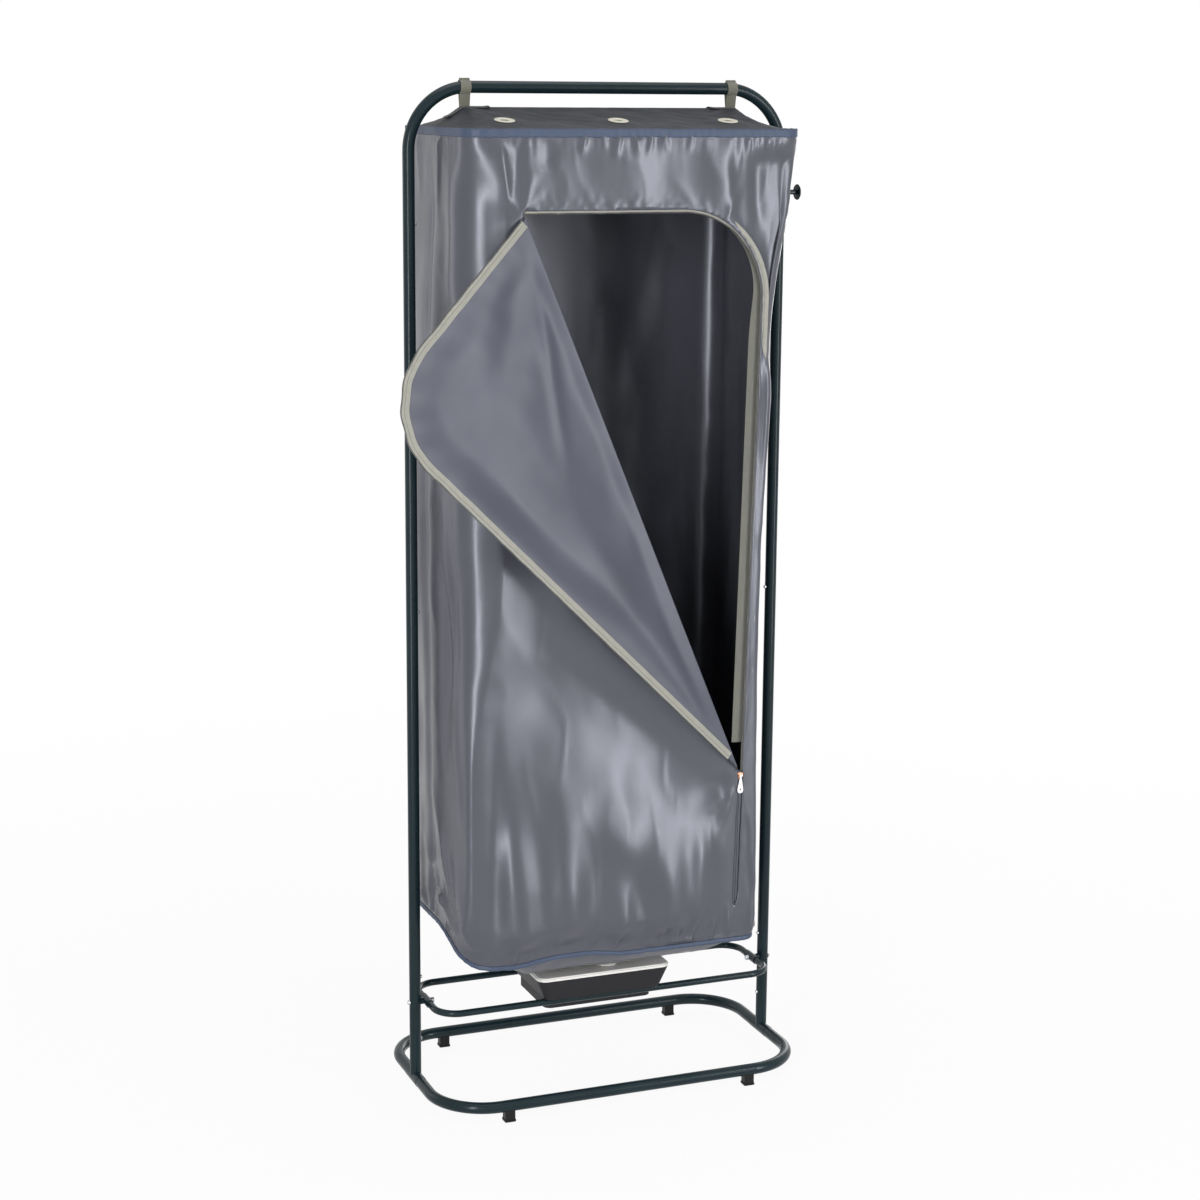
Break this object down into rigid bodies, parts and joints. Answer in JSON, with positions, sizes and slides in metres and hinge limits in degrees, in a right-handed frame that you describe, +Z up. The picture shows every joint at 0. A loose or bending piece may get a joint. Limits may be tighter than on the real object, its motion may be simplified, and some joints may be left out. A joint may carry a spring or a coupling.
{
  "type": "heated clothes drying cabinet",
  "caption": "Fabric clothes drying cabinet on a tube frame, with a zipped door folded open and a fan heater below.",
  "frame": {"origin": "on the floor, midway between the four feet and between the uprights", "axes": "+Z up, the door faces -Y, +X to the right of someone who faces the door"},
  "size_m": [0.7989, 0.4354, 1.7392],
  "materials": {
    "frame_paint": "satin",
    "black_plastic": "matte",
    "steel": "satin",
    "webbing": "matte",
    "dark_webbing": "matte",
    "bag_cloth": "satin",
    "binding": "satin",
    "eyelet_plastic": "satin",
    "zip_tape": "matte",
    "copper_metal": "polished",
    "bright_metal": "polished",
    "heater_dark": "matte",
    "heater_white": "satin",
    "element_metal": "satin"
  },
  "bodies": {
    "cabinet": {"top_rail": "frame_paint", "upper_upright_left": "frame_paint", "upper_upright_right": "frame_paint", "lower_upright_left": "frame_paint", "lower_upright_right": "frame_paint", "leg_left": "frame_paint", "leg_right": "frame_paint", "base_tee_left": "frame_paint", "base_tee_right": "frame_paint", "base_ring_front": "frame_paint", "base_ring_rear": "frame_paint", "shelf_ring_front": "frame_paint", "shelf_ring_rear": "frame_paint", "shelf_joiners": "frame_paint", "shelf_bolts": "steel", "tee_screws": "steel", "foot_front_left": "black_plastic", "foot_front_right": "black_plastic", "foot_rear_left": "black_plastic", "foot_rear_right": "black_plastic", "button_springs": "steel", "side_peg": "frame_paint", "roof_strap_left": "webbing", "roof_strap_right": "webbing", "ridge_patches": "dark_webbing", "hanging_rail": "steel", "rail_caps": "black_plastic", "top_wire": "steel", "bag_roof": "bag_cloth", "bag_front": "bag_cloth", "bag_left": "bag_cloth", "bag_right": "bag_cloth", "bag_back": "bag_cloth", "bag_floor": "bag_cloth", "top_binding": "binding", "hem_binding": "binding", "eyelets": "eyelet_plastic", "door_zip_tape": "zip_tape", "zip_chain": "black_plastic"},
    "door_flap_body": {"door_flap": "bag_cloth", "flap_zip_tape": "zip_tape"},
    "zip_slider_body": {"zip_slider": "copper_metal"},
    "zip_pull_body": {"zip_pull": "bright_metal"},
    "heater": {"heater_base": "heater_dark", "heater_cover": "heater_white", "outlet_grille": "black_plastic", "dial_timer": "heater_white", "fan_motor": "steel", "heating_element": "element_metal", "cord_inlet": "black_plastic", "heater_screws": "steel"},
    "dial": {"control_dial": "heater_white"},
    "fan": {"fan_impeller": "black_plastic"},
    "button_low_left": {"snap_button_low_left": "steel"},
    "button_low_right": {"snap_button_low_right": "steel"},
    "button_mid_left": {"snap_button_mid_left": "steel"},
    "button_mid_right": {"snap_button_mid_right": "steel"},
    "button_top_left": {"snap_button_top_left": "steel"},
    "button_top_right": {"snap_button_top_right": "steel"}
  },
  "joints": [
    {"name": "door_flap_fold", "type": "hinge", "parent": "cabinet", "child": "door_flap_body", "pos_m": [-0.198, -0.172, 1.526], "axis": [0.3834, 0, -0.9236], "range_deg": [-168, 8]},
    {"name": "zip_slide", "type": "slide", "parent": "cabinet", "child": "zip_slider_body", "axis": [-0.0244, 0, -0.9997], "range_m": [0, 0.21], "deforming": ["zip_chain"]},
    {"name": "zip_pull_swing", "type": "hinge", "parent": "zip_slider_body", "child": "zip_pull_body", "pos_m": [0.20098, -0.17445, 0.567], "axis": [-0.9997, 0, 0.0244], "range_deg": [0, 150]},
    {"name": "heater_lift", "type": "slide", "parent": "cabinet", "child": "heater", "axis": [0, 0, 1], "range_m": [0, 0.01]},
    {"name": "dial_turn", "type": "hinge", "parent": "heater", "child": "dial", "pos_m": [0, -0.058, 0.215], "axis": [0, 0, -1], "range_deg": [0, 270]},
    {"name": "fan_spin", "type": "hinge", "parent": "heater", "child": "fan", "pos_m": [-0.017, 0.03, 0.18], "axis": [0, 0, 1], "continuous": true},
    {"name": "press_low_left", "type": "slide", "parent": "cabinet", "child": "button_low_left", "axis": [-1, 0, 0], "range_m": [0, 0.003], "stiffness_N_per_m": 1500, "springref_m": -0.002, "deforming": ["button_springs"]},
    {"name": "press_low_right", "type": "slide", "parent": "cabinet", "child": "button_low_right", "axis": [1, 0, 0], "range_m": [0, 0.003], "stiffness_N_per_m": 1500, "springref_m": -0.002},
    {"name": "press_mid_left", "type": "slide", "parent": "cabinet", "child": "button_mid_left", "axis": [-1, 0, 0], "range_m": [0, 0.003], "stiffness_N_per_m": 1500, "springref_m": -0.002},
    {"name": "press_mid_right", "type": "slide", "parent": "cabinet", "child": "button_mid_right", "axis": [1, 0, 0], "range_m": [0, 0.003], "stiffness_N_per_m": 1500, "springref_m": -0.002},
    {"name": "press_top_left", "type": "slide", "parent": "cabinet", "child": "button_top_left", "axis": [-1, 0, 0], "range_m": [0, 0.003], "stiffness_N_per_m": 1500, "springref_m": -0.002},
    {"name": "press_top_right", "type": "slide", "parent": "cabinet", "child": "button_top_right", "axis": [1, 0, 0], "range_m": [0, 0.003], "stiffness_N_per_m": 1500, "springref_m": -0.002}
  ]
}
